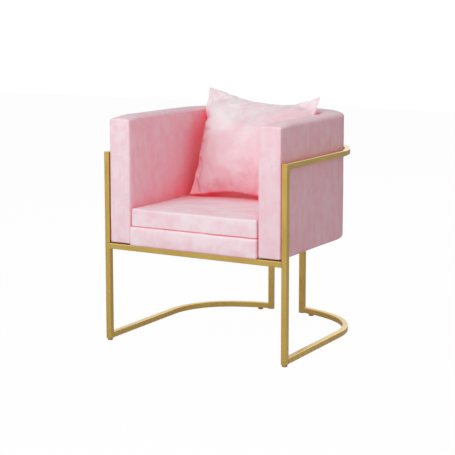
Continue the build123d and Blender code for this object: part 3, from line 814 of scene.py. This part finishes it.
class Graph:
    """Node graph of one material."""

    def __init__(self, name):
        self.material = bpy.data.materials.new(name)
        self.material.use_nodes = True
        self.tree = self.material.node_tree
        self.tree.nodes.clear()
        self.shader = self.node("ShaderNodeBsdfPrincipled")
        output = self.node("ShaderNodeOutputMaterial")
        self.link(self.shader.outputs["BSDF"], output.inputs["Surface"])
        self.place = self.node("ShaderNodeTexCoord").outputs["Object"]

    def node(self, kind, **settings):
        made = self.tree.nodes.new(kind)
        for key, value in settings.items():
            setattr(made, key, value)
        return made

    def link(self, source, target):
        self.tree.links.new(source, target)

    def put(self, made, socket, value):
        """Sets a socket, or links to it."""
        if isinstance(value, bpy.types.NodeSocket):
            self.link(value, made.inputs[socket])
        else:
            made.inputs[socket].default_value = value

    def stretched(self, scale):
        made = self.node("ShaderNodeMapping")
        self.link(self.place, made.inputs["Vector"])
        made.inputs["Scale"].default_value = scale
        return made.outputs["Vector"]

    def noise(self, scale, detail=2.0, rough=0.5, place=None, twist=0.0):
        made = self.node("ShaderNodeTexNoise")
        self.link(place or self.place, made.inputs["Vector"])
        made.inputs["Scale"].default_value = scale
        made.inputs["Detail"].default_value = detail
        made.inputs["Roughness"].default_value = rough
        made.inputs["Distortion"].default_value = twist
        return made.outputs["Fac"]

    def wave(self, scale, direction, twist=0.0):
        made = self.node("ShaderNodeTexWave", bands_direction=direction)
        self.link(self.place, made.inputs["Vector"])
        made.inputs["Scale"].default_value = scale
        made.inputs["Distortion"].default_value = twist
        return made.outputs["Fac"]

    def steps(self, value, low, high, start=0.0, end=1.0):
        made = self.node("ShaderNodeMapRange")
        self.link(value, made.inputs["Value"])
        made.inputs["From Min"].default_value = low
        made.inputs["From Max"].default_value = high
        made.inputs["To Min"].default_value = start
        made.inputs["To Max"].default_value = end
        return made.outputs["Result"]

    def math(self, operation, a, b):
        made = self.node("ShaderNodeMath", operation=operation)
        self.put(made, 0, a)
        self.put(made, 1, b)
        return made.outputs["Value"]

    def mix(self, share, a, b):
        made = self.node("ShaderNodeMix", data_type="RGBA")
        self.put(made, "Factor", share)
        for socket, value in ((6, a), (7, b)):
            self.put(made, socket, (*value, 1) if isinstance(value, tuple) else value)
        return made.outputs[2]

    def bump(self, height, distance, strength=1.0, normal=None):
        made = self.node("ShaderNodeBump")
        self.link(height, made.inputs["Height"])
        made.inputs["Distance"].default_value = distance
        made.inputs["Strength"].default_value = strength
        if normal is not None:
            self.link(normal, made.inputs["Normal"])
        return made.outputs["Normal"]

    def set(self, **values):
        """Sets or links the shader's own sockets."""
        for key, value in values.items():
            socket = key.replace("_", " ")
            if isinstance(value, tuple) and len(value) < len(self.shader.inputs[socket].default_value):
                value = (*value, 1)
            self.put(self.shader, socket, value)


def velvet(
    name, streak, bare, lit_and_nap_pale, patch_scale=7.0, patch_share=0.25,
    painted_highlight=None, painted_enclosed_shade=0.3, painted_top_light=0.65, painted_crease_reach=0.16, nap_and_fold_shade=0.0,
):
    """Pink pile with nap marks and crushed patches, and painted shade: redder where other surfaces hem it in,
    deep red in creases and folds.

    It is painted paler where it faces forwards or up, a painted highlight from the lamps in front and above.
    Instead it can be painted paler along a given direction: a direction, and where the painted highlight
    starts and ends along it. Narrow grooves that don't face up get less of the painted red shade. With a
    strength for the case's folds, the pile is also painted paler on raised folds and darker in their hollows:
    partly laid pile, partly painted shading of the folds.
    """
    g = Graph(name)
    nap = g.steps(g.noise(1.0, 4.0, 0.6, g.stretched(streak), 0.6), 0.33, 0.67)
    patch = g.steps(g.noise(patch_scale, 3.0, 0.55, twist=0.5), 0.36, 0.64)
    fibre = g.noise(1500.0, 2.0, 0.6)
    facing = g.node("ShaderNodeSeparateXYZ")
    g.link(g.node("ShaderNodeNewGeometry").outputs["Normal"], facing.inputs["Vector"])
    # Painted light: paler where the cloth faces forwards or up, towards the lamps, or a painted highlight
    # along a given direction.
    if painted_highlight:
        slope = g.node("ShaderNodeVectorMath", operation="DOT_PRODUCT")
        g.link(g.place, slope.inputs[0])
        slope.inputs[1].default_value = painted_highlight[0]
        lit = g.steps(slope.outputs["Value"], painted_highlight[1], painted_highlight[2])
    else:
        forwards = g.math("MULTIPLY", facing.outputs["Y"], -0.75)
        upwards = g.math("MULTIPLY", facing.outputs["Z"], painted_top_light)
        lit = g.math("ADD", forwards, upwards)
    marks = g.math("ADD", g.steps(nap, 0, 1, -0.2, 0.2), g.steps(patch, 0, 1, -patch_share, patch_share))
    # Painted shading of the pillow's folds, partly laid pile: paler on raised folds, darker in their hollows.
    if nap_and_fold_shade:
        laid = g.node("ShaderNodeAttribute", attribute_name="nap_and_fold_shade").outputs["Fac"]
        marks = g.math("ADD", marks, g.steps(laid, -1, 1, -nap_and_fold_shade, nap_and_fold_shade))
    tone = g.steps(g.math("ADD", lit, marks), -0.35, 1.0)
    colour = g.mix(tone, bare, lit_and_nap_pale)
    colour = g.mix(g.steps(fibre, 0.3, 0.7, 0.0, 0.10), colour, (0.70, 0.30, 0.36))
    # Painted shade: redder where other surfaces hem the cloth in and deep red in creases, less in narrow
    # grooves that don't face up.
    groove = g.node("ShaderNodeAmbientOcclusion", samples=6)
    groove.inputs["Distance"].default_value = 0.012
    upward = g.steps(facing.outputs["Z"], 0.3, 0.7, 0.0, 1.0)
    open_share = g.math("MAXIMUM", g.steps(groove.outputs["AO"], 0.75, 0.45, 1.0, 0.3), upward)
    for reach, start, end, share, deep in (
        (0.30, 0.85, 0.25, painted_enclosed_shade, (0.95, 0.34, 0.42)),
        (painted_crease_reach, 0.60, 0.18, 0.95, (0.97, 0.05, 0.09)),
    ):
        shade = g.node("ShaderNodeAmbientOcclusion", samples=6)
        shade.inputs["Distance"].default_value = reach
        depth = g.steps(shade.outputs["AO"], start, end, 0.0, share)
        colour = g.mix(g.math("MULTIPLY", depth, open_share), colour, deep)
    rough = g.steps(nap, 0.0, 1.0, 0.9, 0.8)
    pile = g.bump(fibre, 0.0006, 0.25)
    g.set(Base_Color=colour, Roughness=rough, Normal=g.bump(nap, 0.0010, 0.2, pile))
    # Painted shade also takes the sheen out of deep creases.
    g.set(Sheen_Weight=g.steps(depth, 0.3, 0.9, 0.25, 0.0))
    g.set(Sheen_Roughness=0.5, Sheen_Tint=(1.0, 0.95, 0.96), Specular_IOR_Level=0.1)
    return g.material


def satin_gold():
    """Gold paint on steel tube: fine flake and soft unevenness."""
    g = Graph("satin_gold")
    flake = g.noise(2600.0, 1.0)
    drift = g.noise(9.0, 3.0)
    colour = g.mix(g.steps(drift, 0.3, 0.7), (0.625, 0.42, 0.092), (0.67, 0.46, 0.115))
    colour = g.mix(g.steps(flake, 0.45, 0.75, 0.0, 0.12), colour, (0.74, 0.55, 0.20))
    rough = g.steps(drift, 0.3, 0.7, 0.27, 0.35)
    peel = g.noise(420.0, 2.0)
    g.set(Base_Color=colour, Roughness=rough, Normal=g.bump(peel, 0.0001, 0.06), Metallic=0.85)
    g.set(Coat_Weight=0.45, Coat_Roughness=0.15)
    return g.material


def plastic(name, dark, light):
    """Moulded plastic with a fine grain."""
    g = Graph(name)
    grain = g.noise(900.0, 3.0)
    colour = g.mix(g.noise(40.0), dark, light)
    rough = g.steps(grain, 0.3, 0.7, 0.45, 0.62)
    g.set(Base_Color=colour, Roughness=rough, Normal=g.bump(grain, 0.0002, 0.3))
    return g.material


def zinc():
    """Plated steel of the fixings."""
    g = Graph("plated_steel")
    spangle = g.noise(300.0, 3.0)
    colour = g.mix(spangle, (0.46, 0.46, 0.48), (0.62, 0.62, 0.62))
    rough = g.steps(spangle, 0.3, 0.7, 0.25, 0.42)
    g.set(Base_Color=colour, Roughness=rough, Metallic=1.0, Normal=g.bump(spangle, 0.0001, 0.2))
    return g.material


def plywood():
    """Sanded plywood: glue lines through its thickness and long grain."""
    g = Graph("plywood")
    grain = g.noise(1.0, 5.0, 0.6, g.stretched((14.0, 140.0, 90.0)), 0.8)
    plies = g.steps(g.wave(110.0, "Z", 0.4), 0.78, 0.95)
    colour = g.mix(grain, (0.50, 0.34, 0.19), (0.68, 0.51, 0.32))
    colour = g.mix(g.math("MULTIPLY", plies, 0.5), colour, (0.30, 0.18, 0.09))
    rough = g.steps(grain, 0.2, 0.8, 0.55, 0.75)
    g.set(Base_Color=colour, Roughness=rough, Normal=g.bump(grain, 0.0004, 0.3))
    return g.material


def fibreboard():
    """Thin pressed board with flecks of fibre."""
    g = Graph("fibreboard")
    fleck = g.noise(1.0, 4.0, 0.7, g.stretched((700.0, 700.0, 160.0)))
    colour = g.mix(g.steps(fleck, 0.3, 0.7), (0.27, 0.18, 0.10), (0.44, 0.32, 0.20))
    g.set(Base_Color=colour, Roughness=g.steps(fleck, 0.3, 0.7, 0.7, 0.85), Normal=g.bump(fleck, 0.0003, 0.3))
    return g.material


def woven(name, dark, light, scale):
    """Plain weave of flat yarn."""
    g = Graph(name)
    warp = g.wave(scale, "X")
    weft = g.wave(scale, "Y")
    yarn = g.math("MULTIPLY", warp, weft)
    fuzz = g.noise(500.0, 3.0)
    colour = g.mix(yarn, dark, light)
    colour = g.mix(g.steps(fuzz, 0.4, 0.8, 0.0, 0.4), colour, dark)
    g.set(Base_Color=colour, Roughness=g.steps(fuzz, 0.2, 0.8, 0.75, 0.92), Normal=g.bump(yarn, 0.0005, 0.6))
    return g.material


def gap_shade_felt():
    """Dark brown pressed wool of the strips under the arms; its darkness is partly its own colour and partly
    painted shade of that gap.
    """
    g = Graph("gap_shade_felt")
    fuzz = g.noise(700.0, 4.0, 0.7)
    colour = g.mix(fuzz, (0.03, 0.016, 0.012), (0.09, 0.05, 0.035))
    g.set(Base_Color=colour, Roughness=g.steps(fuzz, 0.2, 0.8, 0.85, 0.95), Normal=g.bump(fuzz, 0.0005, 0.5))
    return g.material


def foam():
    """Open-cell foam."""
    g = Graph("open_cell_foam")
    cells = g.noise(650.0, 2.0)
    colour = g.mix(g.steps(cells, 0.35, 0.65), (0.62, 0.55, 0.36), (0.86, 0.80, 0.60))
    rough = g.steps(cells, 0.3, 0.7, 0.85, 0.95)
    g.set(Base_Color=colour, Roughness=rough, Normal=g.bump(cells, 0.0008, 0.5))
    return g.material


def zip_tape():
    """Woven tape with a row of moulded teeth."""
    g = Graph("zip_tape")
    teeth = g.steps(g.wave(240.0, "X"), 0.35, 0.6)
    weave = g.noise(900.0, 2.0)
    colour = g.mix(teeth, (0.45, 0.22, 0.26), (0.78, 0.52, 0.57))
    g.set(Base_Color=colour, Roughness=g.steps(weave, 0.3, 0.7, 0.45, 0.7), Normal=g.bump(teeth, 0.0006, 0.7))
    return g.material


def dress(piece, material, body):
    """Gives a piece its material and its body."""
    piece.data.materials.clear()
    piece.data.materials.append(material)
    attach(piece, body)


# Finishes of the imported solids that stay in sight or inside
bare_pink = (0.895, 0.462, 0.535)
# Paler pink that the velvets are painted towards where they face the lamps (painted light) and where their
# nap lies lighter.
lit_and_nap_pink = (0.91, 0.705, 0.76)
glide_plastic = plastic("glide_plastic", (0.34, 0.225, 0.07), (0.40, 0.27, 0.09))
finishes = {
    "gold_frame": satin_gold(),
    "black_plastic": plastic("moulded_plastic", (0.018, 0.018, 0.019), (0.035, 0.034, 0.034)),
    "steel": zinc(),
    "plywood": plywood(),
    "fibreboard": fibreboard(),
    "foam": foam(),
    "webbing": woven("strap_weave", (0.05, 0.045, 0.04), (0.20, 0.17, 0.15), 900.0),
    "dust_cloth": woven("dust_cloth_weave", (0.008, 0.008, 0.008), (0.03, 0.03, 0.03), 700.0),
    "zip": zip_tape(),
    "velvet": velvet("velvet_plain", (24.0, 24.0, 6.0), bare_pink, lit_and_nap_pink),
}
for part in frame["record"]["subparts"]:
    node = frame["nodes"][part["node"]]
    node.data.materials.clear()
    node.data.materials.append(glide_plastic if "glides" in node.name else finishes[part["material_slot"]])

# Velvets of the wall, the left arm's front, the seat and the pillow. The left arm's front has its own copy
# painted lighter, painted light standing for more light falling on it.
wall_velvet = velvet("velvet_upright", (38.0, 38.0, 7.0), bare_pink, lit_and_nap_pink, 26.0, 0.22)
lighter_left_velvet = velvet("velvet_left_arm_painted_lighter", (38.0, 38.0, 7.0), bare_pink, (0.95, 0.775, 0.825), 26.0, 0.22)
seat_velvet = velvet(
    "velvet_seat", (9.0, 16.0, 16.0), (0.90, 0.48, 0.55), (0.95, 0.81, 0.86), 17.0, 0.28,
    painted_enclosed_shade=0.05, painted_top_light=0.9, painted_crease_reach=0.16,
)
# The pillow has a painted highlight that grows towards its upper left.
pillow_velvet = velvet(
    "velvet_pillow", (13.0, 10.0, 10.0), (0.89, 0.48, 0.55), (0.98, 0.90, 0.93), 6.0, 0.26,
    painted_highlight=((-0.9, 0.0, 2.0), 1.06, 1.64), painted_enclosed_shade=0.22, painted_crease_reach=0.07, nap_and_fold_shade=0.2,
)

# Padded wall
outside = build_outside()
inside = build_inside()
top = build_top()
arms = {name: build_arm_front(f"arm_panel_{name}", side) for name, side in (("left", -1), ("right", 1))}
for piece, nodes in (
    (outside, ("outside_cover",)),
    (inside, ("inside_cover", "inner_foam")),
    (top, ("top_cover", "top_foam")),
    (arms["left"], ("arm_front_left", "arm_pads")),
    (arms["right"], ("arm_front_right",)),
):
    give_thickness(piece, cloth_thickness)
    dress(piece, lighter_left_velvet if piece is arms["left"] else wall_velvet, "chair")
    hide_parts(*nodes)

# Felt strips between the front rail and the arms, as dark as the shade in that gap: partly their own colour,
# partly painted shade.
rail_low, rail_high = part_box("front_rail")
for name, side in (("left", -1), ("right", 1)):
    strip = build_strip(f"felt_strip_{name}", side)
    dress(strip, gap_shade_felt(), "chair")

# Seat layers
seat_base = build_slab("seat_base", base_low, base_high, base_round, base_round, base_swell, 0.0, 0.0, 11)
dress(seat_base, seat_velvet, "chair")
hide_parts("seat_base_cover", "seat_base_foam")

cushion = build_slab(
    "seat_cushion_pad", cushion_low, cushion_high, cushion_foot_round, cushion_top_round,
    cushion_swell, cushion_drop, cushion_room, 21,
)
dress(cushion, seat_velvet, "seat_cushion")
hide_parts("seat_cushion_cover", "seat_cushion_core")

# Throw pillow
pillow = build_pillow()
dress(pillow, pillow_velvet, "throw_pillow")
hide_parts("pillow_cover", "pillow_insert")
pillow_zip = build_pillow_zip(pillow)
dress(pillow_zip, finishes["zip"], "throw_pillow")
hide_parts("pillow_zip")

# Cloth under the seat
dust_cloth, dust_area, staples = build_dust_cloth()
dress(dust_cloth, finishes["dust_cloth"], "chair")
dress(staples, finishes["steel"], "chair")
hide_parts("dust_cover")


# Studio: a pale floor that meets a pale background, and soft light from the front and behind
def stage_floor():
    """Wide pale floor."""
    floor = mesh_piece("floor", [(-9, -9, 0), (9, -9, 0), (9, 9, 0), (-9, 9, 0)], [(0, 1, 2, 3)])
    material = bpy.data.materials.new("pale_floor")
    material.use_nodes = True
    tree = material.node_tree
    tree.nodes.clear()
    kinds = ("OutputMaterial", "MixShader", "BsdfDiffuse", "Emission", "LightPath", "Math")
    output, blend, matte, glow, path, seen = (tree.nodes.new(f"ShaderNode{kind}") for kind in kinds)
    seen.operation = "MULTIPLY"
    seen.inputs[1].default_value = 0.96
    matte.inputs["Color"].default_value = (0.78, 0.77, 0.77, 1)
    glow.inputs["Color"].default_value = (1, 1, 1, 1)
    glow.inputs["Strength"].default_value = 1.01
    tree.links.new(path.outputs["Is Camera Ray"], seen.inputs[0])
    tree.links.new(seen.outputs["Value"], blend.inputs["Fac"])
    tree.links.new(matte.outputs["BSDF"], blend.inputs[1])
    tree.links.new(glow.outputs["Emission"], blend.inputs[2])
    tree.links.new(blend.outputs["Shader"], output.inputs["Surface"])
    floor.data.materials.append(material)


def soft_light(name, place, target, size, power, shadow=True):
    """Square soft box that faces a point."""
    data = bpy.data.lights.new(name, "AREA")
    data.size = size
    data.energy = power
    data.use_shadow = shadow
    lamp = bpy.data.objects.new(name, data)
    scene.collection.objects.link(lamp)
    lamp.location = place
    lamp.visible_camera = False
    lamp.rotation_euler = (Vector(target) - Vector(place)).to_track_quat("-Z", "Y").to_euler()


def backdrop(seen, given, mirrored):
    """Even background: one brightness where it is seen, others for its light on cloth and on metal."""
    world = bpy.data.worlds.new("studio")
    scene.world = world
    world.use_nodes = True
    tree = world.node_tree
    tree.nodes.clear()
    output = tree.nodes.new("ShaderNodeOutputWorld")
    path = tree.nodes.new("ShaderNodeLightPath")
    last = None
    for strength, ray in ((given, None), (mirrored, "Is Glossy Ray"), (seen, "Is Camera Ray")):
        light = tree.nodes.new("ShaderNodeBackground")
        light.inputs["Color"].default_value = (1, 1, 1, 1)
        light.inputs["Strength"].default_value = strength
        if ray:
            blend = tree.nodes.new("ShaderNodeMixShader")
            tree.links.new(path.outputs[ray], blend.inputs["Fac"])
            tree.links.new(last, blend.inputs[1])
            tree.links.new(light.outputs["Background"], blend.inputs[2])
            last = blend.outputs["Shader"]
        else:
            last = light.outputs["Background"]
    tree.links.new(last, output.inputs["Surface"])


stage_floor()
backdrop(1.0, 0.345, 1.0)
seat_middle = (0.0, 0.0, 0.5)
soft_light("left", (-2.4, -3.6, 2.2), seat_middle, 2.6, 48.0)
soft_light("right", (0.8, -3.8, 1.2), seat_middle, 1.6, 8.0)
soft_light("fill", (1.3, -2.2, 3.0), seat_middle, 1.6, 38.0, shadow=False)
soft_light("inside", (0.24, -1.1, 1.2), (-0.24, 0.0, 0.6), 0.5, 1.3)
soft_light("behind", (0.0, 3.6, 2.0), seat_middle, 2.5, 18.0)

# Camera at the photograph's viewing angle
camera_azimuth = radians(29.952)
camera_pitch = radians(8.096)
camera = bpy.data.objects.new("camera", bpy.data.cameras.new("camera"))
scene.collection.objects.link(camera)
camera.location = (2.1529, -3.8436, 1.1275)
camera.rotation_euler = (pi / 2 - camera_pitch, 0, camera_azimuth)
camera.data.lens = 103.50
camera.data.shift_y = -0.0879
scene.camera = camera
scene.view_settings.view_transform = "Standard"
